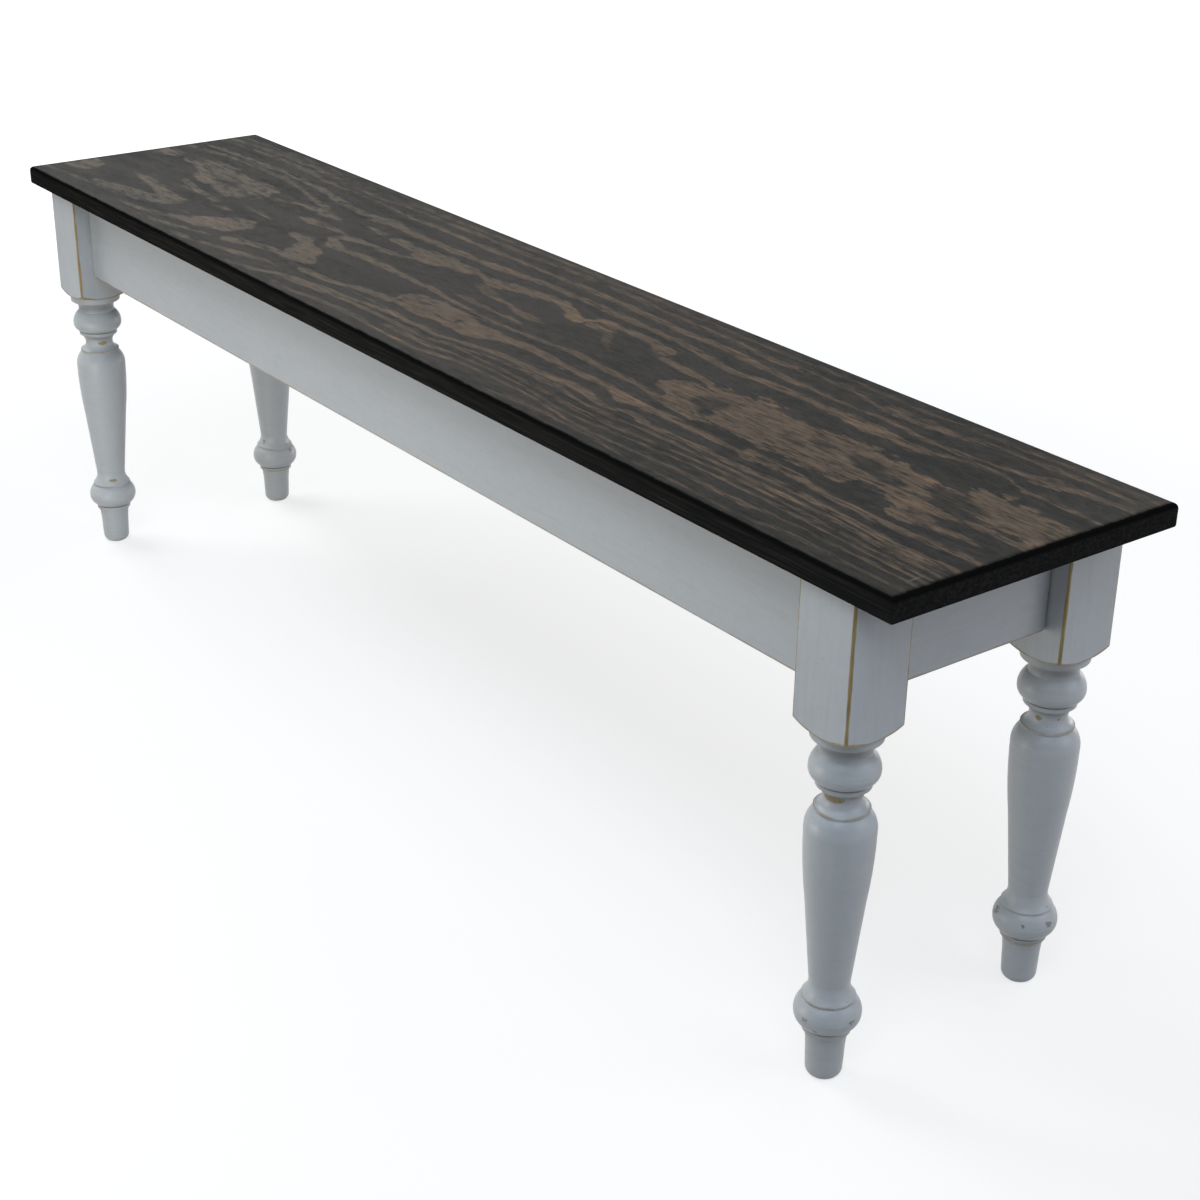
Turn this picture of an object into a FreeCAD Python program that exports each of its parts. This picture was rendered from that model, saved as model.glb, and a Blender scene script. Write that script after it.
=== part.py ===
import FreeCAD, Part
import math
import os
from types import SimpleNamespace

import Sketcher

# Dining bench: one wide seat board on an apron frame with four turned legs.
# Millimetres. The floor is z = 0, X runs along the bench, and the front long side faces -Y.

# Driving dimensions, one sheet row each: alias, millimetres, what it is.
DRIVING = (
    # Seat board, cut from nominal 1 x 12 stock
    ("seat_length", 1385, "seat board, end to end"),
    ("seat_width", 286, "seat board, front to back"),
    ("seat_thickness", 19, "seat board"),
    ("seat_corner", 2.5, "corner radius of the seat in plan"),
    ("seat_top_round", 4, "round-over along the top edge"),
    ("seat_bottom_round", 2.5, "round-over along the bottom edge"),
    # Frame, from nominal 1 x 4 stock
    ("end_overhang", 40.5, "seat past the leg blocks, at each end"),
    ("side_overhang", 6.5, "seat past the leg blocks, front and back"),
    ("apron_height", 89, "apron, all four"),
    ("apron_thickness", 19, "apron, all four"),
    ("apron_setback", 17, "apron face behind the leg block face"),
    ("apron_corner", 4, "rounded lower corners of an apron"),
    ("apron_arris", 2, "eased edge round the outer face of an apron"),
    # Turned leg: square block, then radii and heights of the turning from the floor up
    ("leg_length", 418, "floor to the underside of the seat"),
    ("leg_square", 57, "side of the square block"),
    ("leg_arris", 2, "eased vertical edges of the block"),
    ("foot_flat_radius", 10, "flat that stands on the floor"),
    ("foot_radius", 14.5, "foot, just above its rounded edge"),
    ("foot_edge_height", 7, "top of the rounded edge"),
    ("ankle_radius", 15, "foot, where it starts to flare"),
    ("ankle_height", 18, "height of the same"),
    ("foot_top_radius", 16.9, "top of the foot flare"),
    ("foot_top_height", 42.4, "height of the same"),
    ("lower_fillet_radius", 18.9, "square fillet under the lower bead"),
    ("lower_bead_base_radius", 17.7, "bottom of the lower bead"),
    ("lower_bead_base", 46.2, "height of the same"),
    ("lower_bead_radius", 26.2, "lower bead at its widest"),
    ("lower_bead_height", 58.8, "height of the same"),
    ("lower_bead_top_radius", 19.6, "top of the lower bead"),
    ("lower_bead_top", 71.7, "height of the same"),
    ("lower_ring_radius", 20.9, "sharp ring over the lower bead"),
    ("lower_ring_base", 72.2, "underside of the ring"),
    ("lower_ring_top", 73.4, "top edge of the ring"),
    ("lower_neck_radius", 15.9, "thinnest place of the leg, above the ring"),
    ("lower_neck_height", 85.5, "height of the same"),
    ("taper_radius", 23.1, "end of the straight taper"),
    ("taper_height", 159, "height of the same"),
    ("vase_radius", 27.1, "vase at its widest"),
    ("vase_height", 220, "height of the same"),
    ("shoulder_radius", 20.3, "top of the vase shoulder"),
    ("shoulder_height", 235.2, "height of the same"),
    ("upper_ring_radius", 21.2, "sharp ring over the vase"),
    ("upper_ring_base", 236.2, "underside of the ring"),
    ("upper_ring_top", 237.8, "top edge of the ring"),
    ("upper_neck_radius", 15, "neck between the ring and the upper bead"),
    ("upper_neck_height", 245.7, "height of the same"),
    ("upper_fillet_radius", 20.9, "square fillet under the upper bead"),
    ("upper_fillet_base", 256, "bottom of the same"),
    ("upper_bead_base_radius", 19.7, "bottom of the upper bead"),
    ("upper_bead_base", 259.6, "height of the same"),
    ("upper_bead_radius", 26.7, "upper bead at its widest"),
    ("upper_bead_height", 269.3, "height of the same"),
    ("upper_bead_top_radius", 19.8, "top of the upper bead"),
    ("upper_bead_top", 283.3, "height of the same"),
    ("collar_neck_radius", 19.4, "quirk under the collar"),
    ("collar_neck_height", 287, "height of the same"),
    ("collar_radius", 27.2, "collar under the block"),
    ("collar_lip_radius", 26, "lower lip of the collar"),
    ("collar_lip_height", 295, "height of the same"),
    ("collar_base", 296.4, "bottom of the straight part of the collar"),
    ("pommel_height", 301.6, "block's rounded shoulder, where it meets the collar"),
    ("pommel_rise", 8.6, "rise of the shoulder from the collar to past the corners"),
    ("pommel_reach", 43, "radius that the shoulder is cut out to, past the corners"),
    ("pommel_arc", 40, "arc centre of the shoulder above where it starts"),
    # Diagonal corner braces and their hanger bolts
    ("inner_chamfer", 10, "cut back on the inner edge of a leg block, along each face"),
    ("brace_thickness", 19, "corner brace"),
    ("brace_height", 64, "corner brace"),
    ("brace_reach", 61.5, "leg axis to the blunt tip of a brace"),
    ("brace_screw_reach", 51.5, "leg axis to the screws of a brace"),
    ("brace_screw_inset", 14, "screws from the top and bottom edges of a brace"),
    ("brace_screw_seat", 8, "wood left under a screw head"),
    ("brace_screw_grip", 16, "screw in the apron"),
    ("screw_pocket_radius", 5, "pocket that a screw head sits in"),
    ("bolt_radius", 4, "hanger bolt"),
    ("bolt_hole_radius", 4.5, "bolt hole in a brace"),
    ("bolt_grip", 45, "hanger bolt in the leg"),
    ("bolt_spare", 5, "hanger bolt past its nut"),
    ("bolt_tip", 6, "pointed end of a hanger bolt"),
    ("bolt_chamfer", 1, "chamfer at the nut end of a hanger bolt"),
    ("washer_radius", 11, "hanger bolt washer"),
    ("washer_thickness", 1.8, "hanger bolt washer"),
    ("nut_flats", 13, "hanger bolt nut, across flats"),
    ("nut_height", 6.5, "hanger bolt nut"),
    ("nut_chamfer_reach", 7.8, "radius that the corners of a nut are chamfered out to"),
    ("nut_chamfer", 0.75, "height of the chamfer there"),
    # Wood screws
    ("screw_radius", 2, "shank of every wood screw"),
    ("screw_tip", 5, "pointed end of a screw"),
    ("screw_head_radius", 4.2, "washer head"),
    ("screw_head_height", 2.4, "washer head"),
    ("screw_drive", 2.6, "square drive recess"),
    ("screw_drive_depth", 1.6, "square drive recess"),
    # Cross rail, housed in the long aprons
    ("rail_thickness", 19, "cross rail"),
    ("rail_height", 64, "cross rail"),
    ("rail_housing", 6, "depth of its housing in each apron"),
    # Seat clips in a saw kerf along the inside of the aprons
    ("kerf_drop", 11, "top of the apron to the kerf"),
    ("kerf_height", 3, "saw kerf"),
    ("kerf_depth", 10, "saw kerf"),
    ("clip_thickness", 2, "steel of a clip"),
    ("clip_width", 16, "clip"),
    ("clip_bend", 2, "outer bends of a clip"),
    ("clip_tongue", 8, "tongue in the kerf"),
    ("clip_gap", 1, "riser from the apron"),
    ("clip_reach", 22, "apron to the tip of the flange"),
    ("clip_hole_reach", 13, "apron to the screw of a clip"),
    ("clip_hole_radius", 2.4, "screw hole of a clip"),
    ("clip_screw_grip", 12, "clip screw in the seat"),
    ("clip_inner", 170, "inner clips of a long apron, from the middle"),
    ("clip_outer", 450, "outer clips of a long apron, from the middle"),
)

ROOT_TWO = math.sqrt(2)
ROOT_THREE = math.sqrt(3)


class Size:
    """A length that knows both its value and the sheet formula that gives it."""

    def __init__(self, value, formula=None):
        self.value = value
        self.formula = formula or repr(value)

    def _join(self, other, sign, value):
        return Size(value, f"({self.formula} {sign} {as_size(other).formula})")

    def __add__(self, other):
        return self._join(other, "+", self.value + as_size(other).value)

    def __sub__(self, other):
        return self._join(other, "-", self.value - as_size(other).value)

    def __mul__(self, other):
        return self._join(other, "*", self.value * as_size(other).value)

    def __truediv__(self, other):
        return self._join(other, "/", self.value / as_size(other).value)

    def __neg__(self):
        return Size(0) - self


def as_size(item):
    return item if isinstance(item, Size) else Size(item)


doc = FreeCAD.newDocument("dining_bench")
sheet = doc.addObject("Spreadsheet::Sheet", "Dimensions")
dim = SimpleNamespace()
for row, (alias, value, note) in enumerate(DRIVING, start=1):
    sheet.set(f"A{row}", note)
    sheet.set(f"B{row}", str(value))
    sheet.setAlias(f"B{row}", alias)
    setattr(dim, alias, Size(value, f"Dimensions.{alias}"))
doc.recompute()

# Places that several pieces share
leg_half = dim.leg_square / 2
leg_x = dim.seat_length / 2 - dim.end_overhang - leg_half
leg_y = dim.seat_width / 2 - dim.side_overhang - leg_half
apron_base = dim.leg_length - dim.apron_height
apron_inner = dim.apron_setback + dim.apron_thickness - leg_half
brace_base = dim.leg_length - dim.apron_height / 2 - dim.brace_height / 2
brace_rise = brace_base - apron_base
bolt_height = dim.leg_length - dim.apron_height / 2
chamfer_sum = dim.leg_square - dim.inner_chamfer
chamfer_reach = chamfer_sum / ROOT_TWO
back_sum = chamfer_sum + dim.brace_thickness * ROOT_TWO
screw_heights = (dim.brace_screw_inset, dim.brace_height - dim.brace_screw_inset)

# The corners in quarter turns from the front left one, with the signs of X and Y there
CORNERS = {
    "front_left": (0, -1, -1),
    "front_right": (1, 1, -1),
    "back_right": (2, 1, 1),
    "back_left": (3, -1, 1),
}
AXIS_Z = FreeCAD.Vector(0, 0, 1)
DIAGONAL = FreeCAD.Vector(1, 1, 0)
DIAGONAL_TURN = 135  # degrees from an upright sketch plane to one that faces along the diagonal

NO_LENGTH = 1e-9  # a distance below this is none at all
TOUCHING = 1e-3  # places this close are the same place

# How a sketch numbers the points of a curve, its own origin, and the axis that a zero distance lies on
START, END, CENTRE = 1, 2, 3
SKETCH_ORIGIN = (-1, 1)
ZERO_AXIS = {"DistanceX": -2, "DistanceY": -1}


def bind(item, path, size):
    """Tie a property, or one part of it, to the sheet."""
    item.setExpression(path, as_size(size).formula)


def place(item, x, y, z, rotation=None):
    item.Placement = FreeCAD.Placement(FreeCAD.Vector(0, 0, 0), rotation or FreeCAD.Rotation())
    for axis, size in zip("xyz", (x, y, z)):
        bind(item, f"Placement.Base.{axis}", size)


def quarter_turn(turns):
    return FreeCAD.Rotation(AXIS_Z, 90 * turns)


def turned(x, y, turns):
    """The point (x, y) after some quarter turns about the origin."""
    for _ in range(turns):
        x, y = -as_size(y), x
    return x, y


def new_body(label):
    body = doc.addObject("PartDesign::Body", label)
    body.Label = label
    return body


def new_sketch(body, name, plane, shift=None, turn=0):
    """A sketch on an origin plane of the body, shifted along its normal or turned about its upright."""
    sketch = body.newObject("Sketcher::SketchObject", f"{body.Name}_{name}")
    support = next(item for item in body.Origin.OriginFeatures if item.Role == plane)
    sketch.AttachmentSupport = [(support, "")]
    sketch.MapMode = "FlatFace"
    upright = FreeCAD.Rotation(FreeCAD.Vector(0, 1, 0), turn)
    sketch.AttachmentOffset = FreeCAD.Placement(FreeCAD.Vector(0, 0, 0), upright)
    if shift is not None:
        normal = upright.multVec(AXIS_Z)
        bind(sketch, "AttachmentOffset.Base.x", as_size(shift) * normal.x)
        bind(sketch, "AttachmentOffset.Base.z", as_size(shift) * normal.z)
    return sketch


def fix_distance(sketch, kind, geometry, point, size):
    """Dimension a point from the sketch origin along X or Y."""
    size = as_size(size)
    if abs(size.value) < NO_LENGTH:
        sketch.addConstraint(Sketcher.Constraint("PointOnObject", geometry, point, ZERO_AXIS[kind]))
        return
    ends = (*SKETCH_ORIGIN, geometry, point)
    if size.value < 0:
        size = -size
        ends = (geometry, point, *SKETCH_ORIGIN)
    number = sketch.addConstraint(Sketcher.Constraint(kind, *ends, size.value))
    bind(sketch, f"Constraints[{number}]", size)


def fix_point(sketch, geometry, point, x, y):
    fix_distance(sketch, "DistanceX", geometry, point, x)
    fix_distance(sketch, "DistanceY", geometry, point, y)


def arc_between(start, finish, centre_y):
    """The arc from start to finish about a centre at that height, and whether it runs anticlockwise."""
    (x1, y1), (x2, y2) = start, finish
    centre_x = (x2**2 - x1**2 + (y2 - centre_y) ** 2 - (y1 - centre_y) ** 2) / (2 * (x2 - x1))
    angles = [math.atan2(y - centre_y, x - centre_x) for x, y in (start, finish)]
    forward = math.sin(angles[1] - angles[0]) > 0
    radius = math.hypot(x1 - centre_x, y1 - centre_y)
    whole = Part.Circle(FreeCAD.Vector(centre_x, centre_y), AXIS_Z, radius)
    return Part.ArcOfCircle(whole, *(angles if forward else reversed(angles))), forward


def outline(sketch, stations):
    """Closed outline. A station is (x, y), or (x, y, centre) where an arc about that height leaves it."""
    first = sketch.GeometryCount
    joins = []
    for index, station in enumerate(stations):
        x, y, *centre = [as_size(item).value for item in station]
        next_station = stations[(index + 1) % len(stations)]
        next_x, next_y = [as_size(item).value for item in next_station[:2]]
        if centre:
            curve, forward = arc_between((x, y), (next_x, next_y), *centre)
        else:
            curve = Part.LineSegment(FreeCAD.Vector(x, y), FreeCAD.Vector(next_x, next_y))
            forward = True
        sketch.addGeometry(curve, False)
        joins.append((START, END) if forward else (END, START))
    for index, (x, y, *centre) in enumerate(stations):
        before = (index - 1) % len(stations)
        here, there = first + index, first + before
        start, end_before = joins[index][0], joins[before][1]
        sketch.addConstraint(Sketcher.Constraint("Coincident", here, start, there, end_before))
        fix_point(sketch, here, start, x, y)
        if centre:
            fix_distance(sketch, "DistanceY", here, CENTRE, *centre)


def rounded_rectangle(sketch, half_x, half_y, corner):
    flat_x = half_x - corner
    flat_y = half_y - corner
    outline(sketch, (
        (flat_x, -half_y, -flat_y),
        (half_x, -flat_y),
        (half_x, flat_y, flat_y),
        (flat_x, half_y),
        (-flat_x, half_y, flat_y),
        (-half_x, flat_y),
        (-half_x, -flat_y, -flat_y),
        (-flat_x, -half_y),
    ))


def circle(sketch, x, y, radius):
    centre = FreeCAD.Vector(as_size(x).value, as_size(y).value, 0)
    number = sketch.addGeometry(Part.Circle(centre, AXIS_Z, radius.value), False)
    fix_point(sketch, number, CENTRE, x, y)
    radius_number = sketch.addConstraint(Sketcher.Constraint("Radius", number, radius.value))
    bind(sketch, f"Constraints[{radius_number}]", radius)


def extrude(kind, sketch, length, backward=False):
    """A pad or a pocket of the sketch; a pocket has to take wood away."""
    body = sketch.getParentGeoFeatureGroup()
    doc.recompute()
    volume = body.Shape.Volume if kind == "Pocket" else 0
    feature = body.newObject(f"PartDesign::{kind}", f"{sketch.Name}_{kind.lower()}")
    feature.Profile = sketch
    feature.Reversed = backward
    bind(feature, "Length", length)
    doc.recompute()
    if kind == "Pocket" and body.Shape.Volume >= volume:
        raise RuntimeError(f"{feature.Name} cuts nothing")
    return feature


def spin(kind, sketch):
    """A revolution or a groove of the sketch about the body's upright axis."""
    body = sketch.getParentGeoFeatureGroup()
    feature = body.newObject(f"PartDesign::{kind}", f"{sketch.Name}_{kind.lower()}")
    feature.Profile = sketch
    feature.ReferenceAxis = (sketch, ["V_Axis"])
    feature.Angle = 360
    doc.recompute()
    return feature


def round_edges(feature, name, radius, chosen):
    """Round the edges for which chosen(vertex points) is true."""
    body = feature.getParentGeoFeatureGroup()
    names = [
        f"Edge{number}"
        for number, edge in enumerate(feature.Shape.Edges, start=1)
        if chosen([vertex.Point for vertex in edge.Vertexes])
    ]
    fillet = body.newObject("PartDesign::Fillet", f"{body.Name}_{name}")
    fillet.Base = (feature, names)
    bind(fillet, "Radius", radius)
    doc.recompute()
    return fillet


def near(value, size):
    return abs(value - as_size(size).value) < TOUCHING


def rim(height):
    """Picks the edges of a board's outline at one height, and not the holes in it."""
    return lambda ends: len(ends) == 2 and all(near(point.z, height) for point in ends)


# The seat board, on the underside plane
def make_seat(label):
    body = new_body(label)
    plan = new_sketch(body, "plan", "XY_Plane")
    rounded_rectangle(plan, dim.seat_length / 2, dim.seat_width / 2, dim.seat_corner)
    board = extrude("Pad", plan, dim.seat_thickness)

    pilots = new_sketch(body, "pilots", "XY_Plane")
    for x, y in clip_screw_places():
        circle(pilots, x, y, dim.screw_radius)
    board = extrude("Pocket", pilots, dim.clip_screw_grip, backward=True)

    board = round_edges(board, "top_round", dim.seat_top_round, rim(dim.seat_thickness))
    round_edges(board, "bottom_round", dim.seat_bottom_round, rim(0))
    place(body, 0, 0, dim.leg_length)
    return body


# An apron: outer face on y = 0, ends eased where they butt against the leg blocks
def make_apron(label, length, place_x, place_y, turns, screw_reach, housed):
    body = new_body(label)
    half = length / 2
    corner = dim.apron_corner
    face = new_sketch(body, "face", "XZ_Plane")
    outline(face, (
        (corner - half, 0),
        (half - corner, 0, corner),
        (half, corner),
        (half, dim.apron_height),
        (-half, dim.apron_height),
        (-half, corner, corner),
    ))
    board = extrude("Pad", face, dim.apron_thickness, backward=True)

    def outer_but_top(ends):
        on_top = all(near(point.z, dim.apron_height) for point in ends)
        return all(near(point.y, 0) for point in ends) and not on_top

    round_edges(board, "eased", dim.apron_arris, outer_but_top)

    kerf = new_sketch(body, "kerf", "XZ_Plane", shift=-dim.apron_thickness)
    kerf_top = dim.apron_height - dim.kerf_drop
    outline(kerf, (
        (-half, kerf_top - dim.kerf_height),
        (half, kerf_top - dim.kerf_height),
        (half, kerf_top),
        (-half, kerf_top),
    ))
    extrude("Pocket", kerf, dim.kerf_depth, backward=True)

    pilots = new_sketch(body, "pilots", "XZ_Plane", shift=-dim.apron_thickness)
    for height_in_brace in screw_heights:
        for reach in (screw_reach, -screw_reach):
            circle(pilots, reach, brace_rise + height_in_brace, dim.screw_radius)
    extrude("Pocket", pilots, dim.brace_screw_grip, backward=True)

    if housed:
        housing = new_sketch(body, "housing", "XZ_Plane", shift=-dim.apron_thickness)
        rail_half = dim.rail_thickness / 2
        outline(housing, (
            (-rail_half, dim.apron_height - dim.rail_height),
            (rail_half, dim.apron_height - dim.rail_height),
            (rail_half, dim.apron_height),
            (-rail_half, dim.apron_height),
        ))
        extrude("Pocket", housing, dim.rail_housing, backward=True)
    place(body, place_x, place_y, apron_base, quarter_turn(turns))
    return body


# The turned leg: its whole profile in one half section, spun, with the square block left on top
def make_leg(label, turns, sign_x, sign_y):
    body = new_body(label)
    turning = new_sketch(body, "turning", "XZ_Plane")
    outline(turning, (
        (0, 0),
        (dim.foot_flat_radius, 0, dim.foot_edge_height),
        (dim.foot_radius, dim.foot_edge_height),
        (dim.ankle_radius, dim.ankle_height, dim.ankle_height),
        (dim.foot_top_radius, dim.foot_top_height),
        (dim.lower_fillet_radius, dim.foot_top_height),
        (dim.lower_fillet_radius, dim.lower_bead_base),
        (dim.lower_bead_base_radius, dim.lower_bead_base, dim.lower_bead_height),
        (dim.lower_bead_radius, dim.lower_bead_height, dim.lower_bead_height),
        (dim.lower_bead_top_radius, dim.lower_bead_top),
        (dim.lower_ring_radius, dim.lower_ring_base),
        (dim.lower_ring_radius, dim.lower_ring_top, dim.lower_neck_height),
        (dim.lower_neck_radius, dim.lower_neck_height),
        (dim.taper_radius, dim.taper_height, dim.vase_height),
        (dim.vase_radius, dim.vase_height, dim.vase_height),
        (dim.shoulder_radius, dim.shoulder_height),
        (dim.upper_ring_radius, dim.upper_ring_base),
        (dim.upper_ring_radius, dim.upper_ring_top, dim.upper_neck_height),
        (dim.upper_neck_radius, dim.upper_neck_height, dim.upper_neck_height),
        (dim.upper_fillet_radius, dim.upper_fillet_base),
        (dim.upper_fillet_radius, dim.upper_bead_base),
        (dim.upper_bead_base_radius, dim.upper_bead_base, dim.upper_bead_height),
        (dim.upper_bead_radius, dim.upper_bead_height, dim.upper_bead_height),
        (dim.upper_bead_top_radius, dim.upper_bead_top),
        (dim.collar_neck_radius, dim.collar_neck_height, dim.collar_neck_height),
        (dim.collar_lip_radius, dim.collar_lip_height, dim.collar_base),
        (dim.collar_radius, dim.collar_base),
        (dim.collar_radius, dim.pommel_height),
        (0, dim.pommel_height),
    ))
    spin("Revolution", turning)

    square = new_sketch(body, "square", "XY_Plane", shift=dim.collar_base)
    rounded_rectangle(square, leg_half, leg_half, dim.leg_arris)
    extrude("Pad", square, dim.leg_length - dim.collar_base)

    # The shoulder that the lathe leaves under the block, highest at the corners
    pommel = new_sketch(body, "pommel", "XZ_Plane")
    outline(pommel, (
        (dim.collar_radius, dim.collar_lip_height),
        (dim.pommel_reach, dim.collar_lip_height),
        (dim.pommel_reach, dim.pommel_height + dim.pommel_rise, dim.pommel_height + dim.pommel_arc),
        (dim.collar_radius, dim.pommel_height),
    ))
    spin("Groove", pommel)

    # Flat on the inner edge for the brace, and the hole for the hanger bolt
    flat = new_sketch(body, "brace_flat", "XY_Plane", shift=brace_base)
    outline(flat, (
        (leg_half, chamfer_sum - leg_half),
        (leg_half, leg_half),
        (chamfer_sum - leg_half, leg_half),
    ))
    extrude("Pocket", flat, dim.leg_length - brace_base, backward=True)
    hole_end = chamfer_reach - dim.bolt_grip
    bolt = new_sketch(body, "bolt_hole", "XZ_Plane", shift=hole_end, turn=DIAGONAL_TURN)
    circle(bolt, 0, bolt_height, dim.bolt_radius)
    extrude("Pocket", bolt, dim.bolt_grip, backward=True)
    place(body, leg_x * sign_x, leg_y * sign_y, 0, quarter_turn(turns))
    return body


# A corner brace, drawn about the leg axis with its lower edge on z = 0
def make_brace(label, turns, sign_x, sign_y):
    body = new_body(label)
    tip = dim.brace_reach
    plan = new_sketch(body, "plan", "XY_Plane")
    outline(plan, (
        (chamfer_sum - apron_inner, apron_inner),
        (tip, apron_inner),
        (tip, back_sum - tip),
        (back_sum - tip, tip),
        (apron_inner, tip),
        (apron_inner, chamfer_sum - apron_inner),
    ))
    extrude("Pad", plan, dim.brace_height)

    bolt = new_sketch(body, "bolt_hole", "XZ_Plane", shift=chamfer_reach, turn=DIAGONAL_TURN)
    circle(bolt, 0, dim.brace_height / 2, dim.bolt_hole_radius)
    extrude("Pocket", bolt, dim.brace_thickness, backward=True)

    # Screw holes square to each apron, with a pocket for the head from the back of the brace
    seat = apron_inner + dim.brace_screw_seat
    reach = dim.brace_screw_reach
    through = back_sum - reach - apron_inner + dim.screw_pocket_radius
    bores = (("hole", dim.screw_radius, apron_inner), ("pocket", dim.screw_pocket_radius, seat))
    for plane, name, sign, backward in (("XZ_Plane", "long", -1, False), ("YZ_Plane", "end", 1, True)):
        for bore, radius, start in bores:
            sketch = new_sketch(body, f"{name}_{bore}", plane, shift=start * sign)
            for height in screw_heights:
                circle(sketch, reach, height, radius)
            extrude("Pocket", sketch, through, backward=backward)
    place(body, leg_x * sign_x, leg_y * sign_y, brace_base, quarter_turn(turns))
    return body


def make_rail(label):
    rail = doc.addObject("Part::Box", label)
    rail.Label = label
    length = (leg_y - apron_inner + dim.rail_housing) * 2
    bind(rail, "Length", dim.rail_thickness)
    bind(rail, "Width", length)
    bind(rail, "Height", dim.rail_height)
    place(rail, dim.rail_thickness / -2, length / -2, dim.leg_length - dim.rail_height)
    return rail


# Hardware, each drawn once with its axis on Z and then copied to its places
def make_bolt(name):
    body = new_body(name)
    length = dim.bolt_grip + dim.brace_thickness + dim.washer_thickness + dim.nut_height + dim.bolt_spare
    half = new_sketch(body, "half", "XZ_Plane")
    outline(half, (
        (0, 0),
        (dim.bolt_radius, dim.bolt_tip),
        (dim.bolt_radius, length - dim.bolt_chamfer),
        (dim.bolt_radius - dim.bolt_chamfer, length),
        (0, length),
    ))
    spin("Revolution", half)
    return body


def make_washer(name):
    body = new_body(name)
    plan = new_sketch(body, "plan", "XY_Plane")
    circle(plan, 0, 0, dim.washer_radius)
    circle(plan, 0, 0, dim.bolt_radius)
    extrude("Pad", plan, dim.washer_thickness)
    return body


def make_nut(name):
    body = new_body(name)
    plan = new_sketch(body, "plan", "XY_Plane")
    flat = dim.nut_flats / 2
    point = dim.nut_flats / ROOT_THREE
    side = point / 2
    outline(plan, ((point, 0), (side, flat), (-side, flat), (-point, 0), (-side, -flat), (side, -flat)))
    circle(plan, 0, 0, dim.bolt_radius)
    extrude("Pad", plan, dim.nut_height)
    chamfer = new_sketch(body, "chamfer", "XZ_Plane")
    reach = dim.nut_chamfer_reach
    top = dim.nut_height
    outline(chamfer, ((flat, 0), (reach, 0), (reach, dim.nut_chamfer)))
    outline(chamfer, ((flat, top), (reach, top - dim.nut_chamfer), (reach, top)))
    spin("Groove", chamfer)
    return body


def make_screw(name, length):
    """A washer-head wood screw that points up, its head under z = 0."""
    body = new_body(name)
    half = new_sketch(body, "half", "XZ_Plane")
    outline(half, (
        (0, -dim.screw_head_height),
        (dim.screw_drive, -dim.screw_head_height),
        (dim.screw_head_radius, dim.screw_head_height / -2),
        (dim.screw_head_radius, 0),
        (dim.screw_radius, 0),
        (dim.screw_radius, length - dim.screw_tip),
        (0, length),
    ))
    spin("Revolution", half)
    drive = new_sketch(body, "drive", "XY_Plane", shift=-dim.screw_head_height)
    side = dim.screw_drive / 2
    outline(drive, ((side, -side), (side, side), (-side, side), (-side, -side)))
    extrude("Pocket", drive, dim.screw_drive_depth, backward=True)
    return body


def make_clip(name):
    """A bent steel clip: x runs inward from the apron's inner face, z = 0 is the underside of the seat."""
    body = new_body(name)
    steel = dim.clip_thickness
    riser = dim.clip_gap + steel
    foot = -dim.kerf_drop - steel
    side = new_sketch(body, "side", "XZ_Plane", shift=dim.clip_width / -2)
    outline(side, (
        (-dim.clip_tongue, foot),
        (riser, foot),
        (riser, -steel),
        (dim.clip_reach, -steel),
        (dim.clip_reach, 0),
        (dim.clip_gap, 0),
        (dim.clip_gap, -dim.kerf_drop),
        (-dim.clip_tongue, -dim.kerf_drop),
    ))
    strip = extrude("Pad", side, dim.clip_width)

    def outer_bend(ends):
        low = all(near(point.x, riser) and near(point.z, foot) for point in ends)
        high = all(near(point.x, dim.clip_gap) and near(point.z, 0) for point in ends)
        return low or high

    round_edges(strip, "bends", dim.clip_bend, outer_bend)
    hole = new_sketch(body, "hole", "XY_Plane")
    circle(hole, dim.clip_hole_reach, 0, dim.clip_hole_radius)
    extrude("Pocket", hole, steel)
    return body


def copies(label, original, placements):
    """One named group of separate copies; a placement is (x, y, z, rotation)."""
    links = []
    for x, y, z, rotation in placements:
        link = doc.addObject("App::Link", f"{label}_copy")
        link.LinkedObject = original
        place(link, x, y, z, rotation)
        links.append(link)
    group = doc.addObject("Part::Compound", label)
    group.Label = label
    group.Links = links
    return group


def clip_places():
    """Where each clip meets the inner face of an apron, and its quarter turns."""
    inner_y = leg_y - apron_inner
    inner_x = leg_x - apron_inner
    places = [(-inner_x, Size(0), 0), (inner_x, Size(0), 2)]
    for reach in (dim.clip_inner, dim.clip_outer):
        for x in (-reach, reach):
            places += [(x, -inner_y, 1), (x, inner_y, 3)]
    return places


def clip_screw_places():
    places = []
    for x, y, turns in clip_places():
        shift_x, shift_y = turned(dim.clip_hole_reach, Size(0), turns)
        places.append((x + shift_x, y + shift_y))
    return places


def bolt_line(distance):
    """Placements along each corner's diagonal, at a distance inward from the leg axis."""
    along_diagonal = FreeCAD.Rotation(AXIS_Z, DIAGONAL)
    placements = []
    for turns, sign_x, sign_y in CORNERS.values():
        shift_x, shift_y = turned(distance / ROOT_TWO, distance / ROOT_TWO, turns)
        rotation = quarter_turn(turns) * along_diagonal
        placements.append((leg_x * sign_x + shift_x, leg_y * sign_y + shift_y, bolt_height, rotation))
    return placements


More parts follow.
